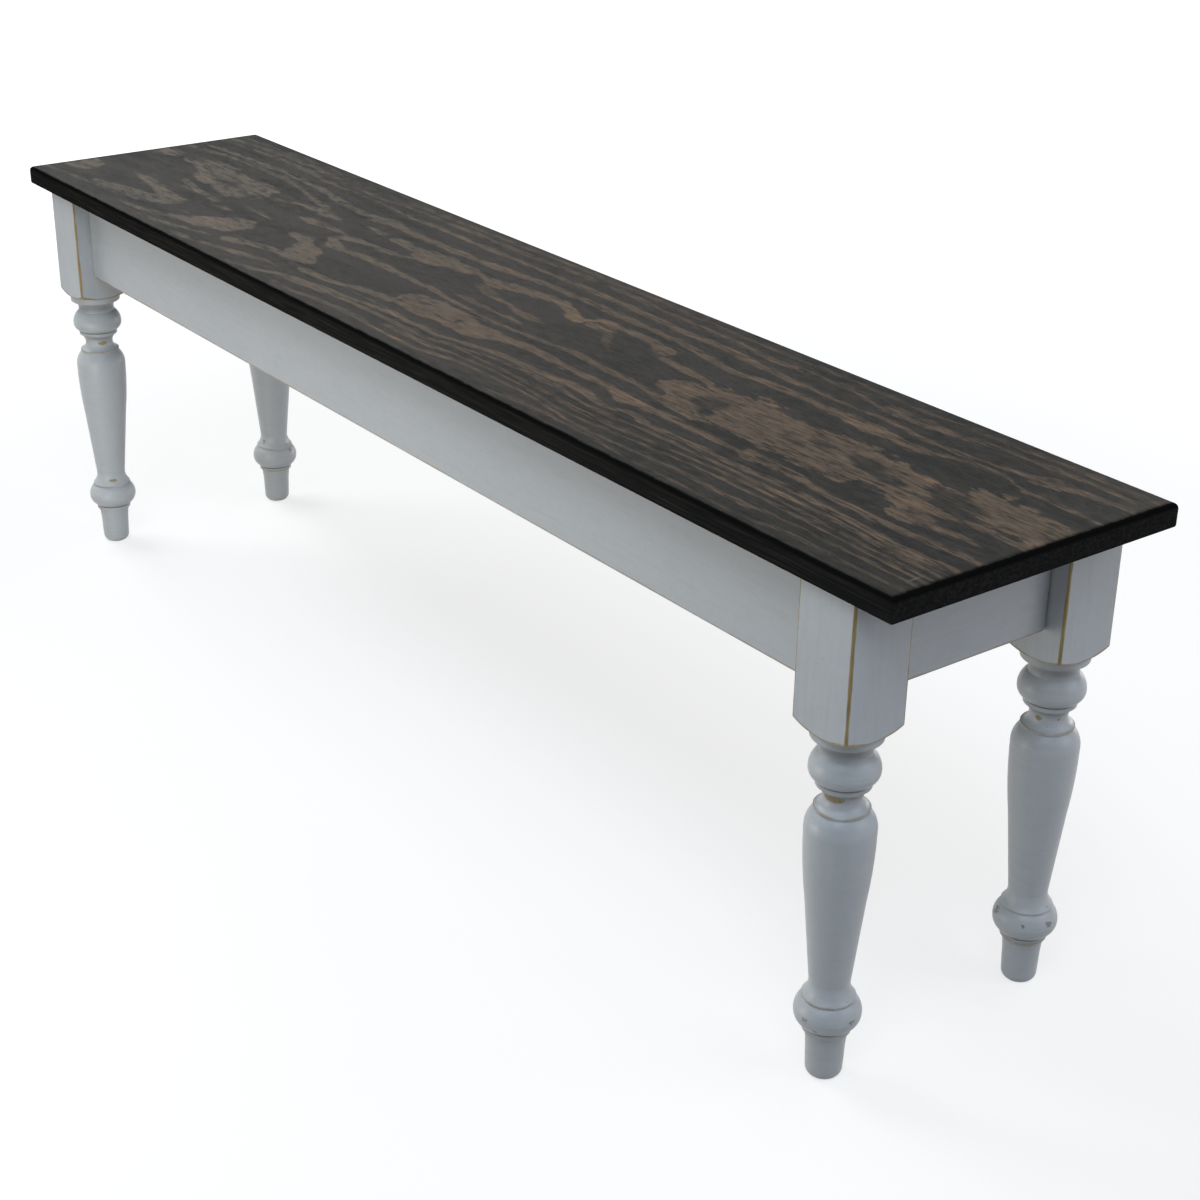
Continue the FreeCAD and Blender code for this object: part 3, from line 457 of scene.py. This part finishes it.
def stained_plank():
    wood = Surface("stained_plank")
    grain = wood.noises(SEAT_NOISES)
    blurred = wood.x.rise(*BLURRED_SPAN)
    brown = plank_figure(wood, grain, blurred)
    colour = plank_top(wood, grain, blurred, brown)

    # Rounded edges take the stain deepest
    margin = (SEAT_HIGH.y - wood.y.size()).least((SEAT_HIGH.x - wood.x.size()) * END_MARGIN_SHARE)
    margin = margin + (grain.mottle + grain.ragged) * MARGIN_RAGGED
    flat = margin.rise(*MARGIN) * wood.z.rise(*TOP_FACE)
    edge = wood.mix(grain.edge.rise(*EDGE_TONES), STAIN_EDGE, STAIN_EDGE_PALE)
    edge = wood.mix(wood.z.rise(*TOP_ARRIS), edge, STAIN_ARRIS)
    colour = wood.mix(flat, edge, colour)
    x, y, width, length = SCRATCH
    off_x = (wood.x / MM - x) / width
    off_y = (wood.y / MM - y) / length
    scratch = (off_x * off_x + off_y * off_y).bell() * (SCRATCH_DEPTH + grain.fibre)
    colour = wood.mix(scratch, colour, STAIN_SCRATCH)

    # The underside has one thin coat
    below = wood.z.rise(*UNDERSIDE) * margin.rise(*UNDERSIDE_MARGIN)
    bare = brown * 0.6 + grain.fibre * 1.2 + grain.mottle * 0.6 + 0.1
    thin_coat = wood.mix(bare.rise(0.0, 1.0), THIN_STAIN, THIN_STAIN_PALE)
    wood.set(Specular_IOR_Level=SEAT_SHEEN)
    wood.set(Base_Color=wood.mix(below, colour, thin_coat), Specular_IOR_Level=flat * SEAT_SHEEN,
             Roughness=SEAT_ROUGHNESS + brown * 0.08 + grain.fibre * 0.16)
    wood.bump(grain.fibre * 0.9 + grain.pores * 0.5, *SEAT_RELIEF)
    return wood.material


# The paint: a brushed pale coat over wood that shows where it is rubbed.
# The ranges of noise over which its tones change, and how dark strokes, mottling, specks and pits make it
CLOUD_TONES = (-0.22, 0.22)
STROKE_TONES, STROKE_DARK = (-0.1, 0.35), 0.20
MOTTLE_TONES, MOTTLE_DARK = (-0.1, 0.3), 0.12
SPECK_TONES, SPECK_DARK = (0.0, 0.3), 0.10
PIT_TONES, PIT_DARK = (0.27, 0.33), 0.35
BARE_TONES = (-0.2, 0.25)
PAINT_ROUGHNESS = 0.38
PAINT_RELIEF = (0.25 * MM, 0.6)
PAINT_NOISES = {
    "cloudy": Noise(even(5.0), 4.0, 0.55, 5.0),
    "speck": Noise(even(420.0), 1.0),
    "pits": Noise(even(230.0), 1.0, 0.55, 31.0),
    "mottled": Noise(even(75.0), 4.0, 0.7, 19.0),
    "lumps": Noise(even(48.0), 2.0, 0.55, 15.0),
}


def paint_coat(surface, rubbed, strokes, grain, grime_and_shade=None):
    """A brushed coat, rubbed through to the grain of the wood, and dark where grime lies on it or painted shade
    is laid in its recesses.
    """
    coat = surface.noises(PAINT_NOISES)
    pits = coat.pits.rise(*PIT_TONES)
    shade = strokes.rise(*STROKE_TONES) * STROKE_DARK + coat.mottled.rise(*MOTTLE_TONES) * MOTTLE_DARK
    shade = shade + coat.speck.rise(*SPECK_TONES) * SPECK_DARK + pits * PIT_DARK
    colour = surface.mix(coat.cloudy.rise(*CLOUD_TONES), PAINT, PAINT_COOL)
    colour = surface.mix(shade, colour, PAINT_SHADE)
    if grime_and_shade is not None:
        # Grime and painted shade darken the coat
        colour = surface.mix(grime_and_shade, colour, GRIME_AND_SHADE)
    bare = surface.mix(grain.rise(*BARE_TONES), RUBBED_WOOD, RUBBED_DARK)
    surface.set(Base_Color=surface.mix(rubbed, colour, bare), Specular_IOR_Level=0.5,
                Roughness=PAINT_ROUGHNESS + strokes * 0.14 + rubbed * 0.20)
    relief = strokes * 0.6 + coat.lumps * 2.2 + coat.speck * 0.12 - pits * 0.5 - rubbed * 0.8
    surface.bump(relief, *PAINT_RELIEF)
    return surface.material


# The cupped shoulder under the square block of a leg, which rises from the collar to the block's corners
COLLAR_RADIUS = 27.2 * MM
SHOULDER_HEIGHT = 301.6 * MM
SHOULDER_RISE = 6.5 * MM
SHOULDER_SLOPE = SHOULDER_RISE / (BLOCK_DIAGONAL - COLLAR_RADIUS)
SHOULDER_SPAN = (SHOULDER_HEIGHT - 1.0 * MM, SHOULDER_HEIGHT + 1.0 * MM)
# How far the block's edges, its lower rim and the sole are rubbed, and how the rubbing wanders and nicks
BLOCK_EDGES = (BLOCK_HALF - 2.4 * MM, BLOCK_HALF - 1.4 * MM)
BLOCK_FACE = (BLOCK_HALF - 1.5 * MM, BLOCK_HALF)
BLOCK_RIM = (1.3 * MM, 0.2 * MM)
RIM_WEAR = 0.8
SOLE = (0.6 * MM, 0.1 * MM)
EDGE_WANDER, EDGE_NICK = 2.0 * MM, 0.9 * MM
RIM_WANDER, RIM_NICK = 2.4 * MM, 1.0 * MM
# Sharp turned rings that lose their paint: height, radius, half width, and the wear on front and on back legs
WORN_RINGS = (
    (237.2 * MM, 21.2 * MM, 1.1 * MM, 0.12, 0.12),
    (72.9 * MM, 20.9 * MM, 0.9 * MM, 0.04, -0.10),
    (43.0 * MM, 18.9 * MM, 1.2 * MM, -0.03, 0.12),
    (296.0 * MM, 27.2 * MM, 0.8 * MM, -0.10, -0.10),
    (256.4 * MM, 20.9 * MM, 0.6 * MM, -0.10, -0.10),
)
RING_NICK = 0.9 * MM
RING_TONES = (-0.10, 0.06)
RING_WEAR = 0.45
# Necks of the turning where the paint is chipped, from height to height, and over what height the chips end
CHIPPED_BANDS = ((47.0 * MM, 55.0 * MM), (75.0 * MM, 82.0 * MM), (242.0 * MM, 252.0 * MM))
CHIPPED_FADE = 1.5 * MM
CHIP_TONES = (0.17, 0.22)
CHIP_WEAR = 0.8
# Single rubbed places on the legs in millimetres: x, y, z, half width and half height
RUBBED_PLACES = (
    (628.1, -123.9, 249.5, 9.0, 3.2), (626.6, 91.8, 247.0, 3.2, 2.4),
    (-607.7, -110.7, 247.0, 5.0, 2.0), (-607.5, -113.0, 80.0, 4.5, 1.6),
)
RUBBED_EDGE = (1.2, 0.8)
RUBBED_WEAR = 0.85
# Dark chips on the lower beads, given the same way
DARK_CHIPS = (
    (626.4, -133.9, 60.4, 3.6, 2.4), (649.5, -107.0, 60.3, 3.6, 2.4), (634.0, -130.0, 53.0, 3.4, 1.6),
    (611.5, 86.5, 65.6, 3.6, 4.2), (649.0, 108.2, 63.5, 3.6, 2.6), (639.1, 88.1, 63.9, 2.2, 1.8),
    (-602.0, 118.1, 67.3, 3.6, 2.4),
)
DARK_CHIP_EDGE = (1.0, 0.2)
DARK_CHIP_DEPTH = 0.75
# Recesses of the turning darkened with painted shade: height, half height and how dark
SHADED_RECESSES = (
    (288.5 * MM, 5.0 * MM, 0.55), (259.9 * MM, 1.0 * MM, 0.6),
    (253.0 * MM, 3.0 * MM, 0.35), (46.5 * MM, 0.9 * MM, 0.6),
)
LEG_NOISES = {
    "wander": Noise((35.0, 35.0, 28.0)),
    "nick": Noise(even(90.0), 3.0, 0.55, 2.0),
    "chips": Noise((75.0, 75.0, 95.0), 2.0, 0.55, 21.0),
    "flaked": Noise(even(420.0), 2.0, 0.55, 27.0),
    "brushed": Noise((260.0, 260.0, 26.0), 3.0, 0.6),
    "lathe": Noise((30.0, 30.0, 650.0), 3.0, 0.6, 8.0),
    "grain": Noise((650.0, 650.0, 60.0), 2.0, 0.55, 9.0),
}


def away_from(surface, place):
    """The square of the distance from a place, 1 at its half width and half height."""
    x, y, z, half_width, half_height = (value * MM for value in place)
    off_x = (surface.x - x) / half_width
    off_y = (surface.y - y) / half_width
    off_z = (surface.z - z) / half_height
    return off_x * off_x + off_y * off_y + off_z * off_z


def leg_wear(leg, rough, off_x, off_y, radius, in_block):
    """Where the paint of a leg is rubbed through."""
    corner = off_x.size().least(off_y.size()) + rough.wander * EDGE_WANDER + rough.nick * EDGE_NICK
    edges = corner.rise(*BLOCK_EDGES) * in_block
    corner_rise = (radius - COLLAR_RADIUS) * SHOULDER_SLOPE
    above_rim = leg.z - SHOULDER_HEIGHT - corner_rise + rough.wander * RIM_WANDER + rough.nick * RIM_NICK
    rim = above_rim.rise(*BLOCK_RIM) * radius.rise(*BLOCK_FACE) * in_block
    rubbed = edges.most(rim * RIM_WEAR).most(leg.z.rise(*SOLE))

    # The sharp rings are only partly through
    at_back = leg.y.rise(-BLOCK_HALF, BLOCK_HALF)
    for height, ring_radius, half, front_wear, back_wear in WORN_RINGS:
        away = (leg.z - height).size() + rough.nick * RING_NICK
        ring = away.rise(half + 0.5 * MM, half - 0.3 * MM)
        ring = ring * radius.rise(ring_radius - 1.6 * MM, ring_radius - 0.5 * MM)
        wear = rough.wander + front_wear + at_back * (back_wear - front_wear)
        rubbed = rubbed.most(ring * wear.rise(*RING_TONES) * (RING_WEAR + rough.nick * 1.1))
    for low, high in CHIPPED_BANDS:
        band = leg.z.rise(low - CHIPPED_FADE, low) * leg.z.rise(high + CHIPPED_FADE, high)
        rubbed = rubbed.most(rough.chips.rise(*CHIP_TONES) * band * CHIP_WEAR)
    for place in RUBBED_PLACES:
        rubbed = rubbed.most((away_from(leg, place) + rough.uneven).rise(*RUBBED_EDGE) * RUBBED_WEAR)
    return rubbed


def leg_grime_and_shade(leg, rough):
    """Where a leg is dark: grime in its dark chips, and painted shade in the recesses of its turning."""
    grime_and_shade = 0.0
    for place in DARK_CHIPS:
        chip = (away_from(leg, place) + rough.uneven + rough.flaked * 4.5).rise(*DARK_CHIP_EDGE)
        grime_and_shade = (chip * DARK_CHIP_DEPTH).most(grime_and_shade)
    # Painted shade in the recesses of the turning, where the collar and beads shade it
    for height, half, depth in SHADED_RECESSES:
        off = (leg.z - height) / half
        grime_and_shade = ((off * off).bell() * (depth + rough.wander * 0.5)).most(grime_and_shade)
    return grime_and_shade


def painted_leg():
    """A leg brushed along its square block and round its turning."""
    leg = Surface("painted_leg")
    rough = leg.noises(LEG_NOISES)
    rough.uneven = rough.nick * 1.6 + rough.chips * 1.2
    off_x = leg.x.size() - LEG_AXIS.x
    off_y = leg.y.size() - abs(LEG_AXIS.y)
    radius = (off_x * off_x + off_y * off_y).root()
    in_block = leg.z.rise(*SHOULDER_SPAN)
    rubbed = leg_wear(leg, rough, off_x, off_y, radius, in_block)
    strokes = rough.brushed * in_block + rough.lathe * (1.0 - in_block)
    return paint_coat(leg, rubbed, strokes, rough.grain, leg_grime_and_shade(leg, rough))


# The aprons: how far their lower edges and their ends are rubbed, and the brush strokes along them
APRON_LOW_EDGE, LOW_EDGE_WEAR = (2.8 * MM, 1.4 * MM), 0.62
APRON_ENDS, APRON_END_WEAR = (1.9 * MM, 0.9 * MM), 0.75
APRON_WANDER, APRON_NICK = 2.6 * MM, 1.2 * MM
BRUSH_ALONG_X = (26.0, 260.0, 260.0)
BRUSH_ALONG_Y = (260.0, 26.0, 260.0)
GRAIN_TO_BRUSH = 2.5
APRON_NOISES = {
    "wander": Noise((22.0, 22.0, 60.0)),
    "nick": Noise(even(80.0), 3.0, 0.55, 2.0),
}


def painted_apron(name, along, end, brush):
    """An apron along X or Y, rubbed along its lower edge and its butted ends."""
    board = Surface(name)
    rough = board.noises(APRON_NOISES)
    reach = board.x.size() if along == "X" else board.y.size()
    uneven = rough.wander * APRON_WANDER + rough.nick * APRON_NICK
    low = (board.z - APRON_LOW.z + uneven).rise(*APRON_LOW_EDGE)
    ends = (end - reach + uneven).rise(*APRON_ENDS)
    strokes = board.noise(Noise(brush, 3.0, 0.6))
    grain = board.noise(Noise(tuple(rate * GRAIN_TO_BRUSH for rate in brush), 2.0, 0.55, 9.0))
    return paint_coat(board, (low * LOW_EDGE_WEAR).most(ends * APRON_END_WEAR), strokes, grain)


# Bare pine under the seat: growth lines to a metre, few along the grain, and how much finer the fibre is
BRACE_LINES = (18.0, 18.0, 90.0)
RAIL_LINES = (70.0, 6.0, 70.0)
LINES_TO_NOISE = 9.0
FIBRE_TO_LINES = 12.0
PINE_RELIEF = (0.2 * MM, 0.5)
ZINC_RELIEF = (0.05 * MM, 0.4)


def bare_pine(name, lines):
    """Planed, unfinished pine."""
    pine = Surface(name)
    band = (pine.noise(Noise(lines, 2.0, 0.55, 4.0)) * LINES_TO_NOISE).fraction()
    late = band.rise(0.45, 0.9) * band.rise(1.0, 0.94)
    fibre = pine.noise(Noise(tuple(rate * FIBRE_TO_LINES for rate in lines)))
    colour = pine.mix(late * 0.75 + fibre * 0.3, PINE_PALE, PINE_LATE)
    pine.set(Base_Color=colour, Roughness=0.62 + fibre * 0.15, Specular_IOR_Level=0.35)
    pine.bump(fibre * 0.7 + late * 0.3, *PINE_RELIEF)
    return pine.material


def zinc_steel():
    """Zinc plate with dull clouds and a fine spangle."""
    steel = Surface("zinc_steel")
    cloud = steel.noise(Noise(even(160.0)))
    spangle = steel.noise(Noise(even(700.0), 2.0, 0.55, 3.0))
    colour = steel.mix(cloud.rise(-0.25, 0.25), ZINC, ZINC_DULL)
    steel.set(Base_Color=colour, Metallic=1.0, Roughness=0.34 + cloud * 0.25 + spangle * 0.12)
    steel.bump(spangle, *ZINC_RELIEF)
    return steel.material


def dress(names, material):
    for name in names:
        NODES[name].data.materials.clear()
        NODES[name].data.materials.append(material)


dress(["seat_board"], stained_plank())
dress(LEGS, painted_leg())
dress(LONG_APRONS, painted_apron("painted_long_apron", "X", APRON_HIGH.x, BRUSH_ALONG_X))
dress(END_APRONS, painted_apron("painted_end_apron", "Y", END_HIGH.y, BRUSH_ALONG_Y))
dress(BRACES, bare_pine("brace_pine", BRACE_LINES))
dress(["cross_rail"], bare_pine("rail_pine", RAIL_LINES))
dress(HARDWARE, zinc_steel())

# The floor is flat round the bench and curves up into a low rim. It glows to white away from the bench,
# and is clear from below, so that the underside can be seen.
FLOOR_FLAT = 9.0
FLOOR_RIM = 3.0
RIM_HEIGHT = 1.8
RIM_STEPS = 8
FLOOR_SIDES = 72
GLOW_NEAR = 0.72
GLOW_SPAN = (0.9, 2.6)

# Studio lamps: name, place, what they point at, width, height, spread in degrees, watts and colour
BENCH_MIDDLE = (0.0, 0.0, 0.25)
FAR_LEGS = (-0.62, 0.0, 0.13)
OPEN = 180.0
SOFT_BOXES = (
    ("left_high", (-2.4, -0.7, 2.8), BENCH_MIDDLE, 2.0, 1.6, OPEN, 61.0, (0.98, 1.0, 0.99)),
    ("camera_high", (1.6, -1.4, 2.8), BENCH_MIDDLE, 1.6, 1.6, OPEN, 31.5, (0.73, 0.86, 1.0)),
    ("right_back", (2.7, 1.5, 1.6), BENCH_MIDDLE, 2.0, 1.6, OPEN, 19.5, (0.92, 0.93, 1.0)),
    ("back_high", (1.4, 2.2, 3.0), BENCH_MIDDLE, 1.6, 1.6, OPEN, 10.0, (1.0, 1.0, 0.98)),
    ("low_fill", (-0.08, -1.0, 0.22), BENCH_MIDDLE, 0.5, 0.4, OPEN, 2.65, (1.0, 0.98, 0.91)),
    ("back_low", (-0.3, 2.8, 0.5), BENCH_MIDDLE, 1.6, 0.5, OPEN, 16.0, (1.0, 0.98, 0.95)),
    ("far_fill", (-0.05, -0.75, 0.10), FAR_LEGS, 0.3, 0.15, 40.0, 0.07, (1.0, 0.98, 0.94)),
)
AMBIENT = (0.80, 0.90, 1.0)
AMBIENT_STRENGTH = 0.13

# Camera, solved from the photograph's edges
CAMERA_PLACE = Vector((1.57952, -1.05431, 1.02936))
CAMERA_AZIMUTH = math.radians(52.8585)
CAMERA_ELEVATION = math.radians(25.3303)
CAMERA_ROLL = math.radians(0.8747)
CAMERA_LENS = 64.126
CAMERA_SENSOR = 36.0


def floor_mesh():
    """A round floor whose outer part curves up as a quarter of an ellipse."""
    rings = [(FLOOR_FLAT, 0.0)]
    for step in range(1, RIM_STEPS + 1):
        turn = math.pi / 2 * step / RIM_STEPS
        rings.append((FLOOR_FLAT + FLOOR_RIM * math.sin(turn), RIM_HEIGHT * (1 - math.cos(turn))))
    points = []
    for radius, height in rings:
        for side in range(FLOOR_SIDES):
            turn = 2 * math.pi * side / FLOOR_SIDES
            points.append((radius * math.cos(turn), radius * math.sin(turn), height))
    faces = [tuple(range(FLOOR_SIDES))]
    for ring in range(RIM_STEPS):
        for side in range(FLOOR_SIDES):
            here = ring * FLOOR_SIDES + side
            beside = ring * FLOOR_SIDES + (side + 1) % FLOOR_SIDES
            faces.append((here, here + FLOOR_SIDES, beside + FLOOR_SIDES, beside))
    mesh = bpy.data.meshes.new("floor")
    mesh.from_pydata(points, [], faces)
    return mesh


def pale_floor():
    mesh = floor_mesh()
    floor = bpy.data.objects.new("floor", mesh)
    bpy.context.scene.collection.objects.link(floor)
    surface = Surface("pale_floor")
    tint = surface.noise(Noise(even(1.0), 2.0))
    surface.set(Base_Color=surface.mix(tint.rise(-0.3, 0.3), FLOOR_DARK, FLOOR_PALE),
                Roughness=0.9, Specular_IOR_Level=0.1, Emission_Color=WHITE)
    path = surface.node("ShaderNodeLightPath")
    seen = Field(surface, path.outputs["Is Camera Ray"])
    for name in ("Is Glossy Ray", "Is Transmission Ray"):
        seen = seen.most(Field(surface, path.outputs[name]))
    away = (surface.x * surface.x + surface.y * surface.y).root()
    glow = GLOW_NEAR + away.rise(*GLOW_SPAN) * (1.0 - GLOW_NEAR)
    below = Field(surface, surface.node("ShaderNodeNewGeometry").outputs["Backfacing"])
    surface.set(Emission_Strength=seen * glow, Alpha=1.0 - below)
    mesh.materials.append(surface.material)


def plain_world():
    world = bpy.data.worlds.new("studio")
    bpy.context.scene.world = world
    world.use_nodes = True
    light = world.node_tree.nodes["Background"]
    light.inputs["Color"].default_value = (*AMBIENT, 1.0)
    light.inputs["Strength"].default_value = AMBIENT_STRENGTH


def soft_box(name, place, target, width, height, spread, power, colour):
    lamp = bpy.data.lights.new(name, "AREA")
    lamp.shape = "RECTANGLE"
    lamp.size = width
    lamp.size_y = height
    lamp.spread = math.radians(spread)
    lamp.energy = power
    lamp.color = colour
    box = bpy.data.objects.new(name, lamp)
    bpy.context.scene.collection.objects.link(box)
    box.visible_camera = False
    box.location = place
    box.rotation_euler = (Vector(target) - Vector(place)).to_track_quat("-Z", "Y").to_euler()


def photo_camera():
    a, e, r = CAMERA_AZIMUTH, CAMERA_ELEVATION, CAMERA_ROLL
    back = Vector((math.sin(a) * math.cos(e), -math.cos(a) * math.cos(e), math.sin(e)))
    level = Vector((math.cos(a), math.sin(a), 0.0))
    upright = back.cross(level)
    right = level * math.cos(r) + upright * math.sin(r)
    up = upright * math.cos(r) - level * math.sin(r)
    data = bpy.data.cameras.new("photo_camera")
    data.lens = CAMERA_LENS
    data.sensor_width = CAMERA_SENSOR
    camera = bpy.data.objects.new("photo_camera", data)
    bpy.context.scene.collection.objects.link(camera)
    turn = Matrix((right, up, back)).transposed().to_4x4()
    camera.matrix_world = Matrix.Translation(CAMERA_PLACE) @ turn
    bpy.context.scene.camera = camera


pale_floor()
plain_world()
for lamp in SOFT_BOXES:
    soft_box(*lamp)
photo_camera()
bpy.context.scene.view_settings.view_transform = "Standard"
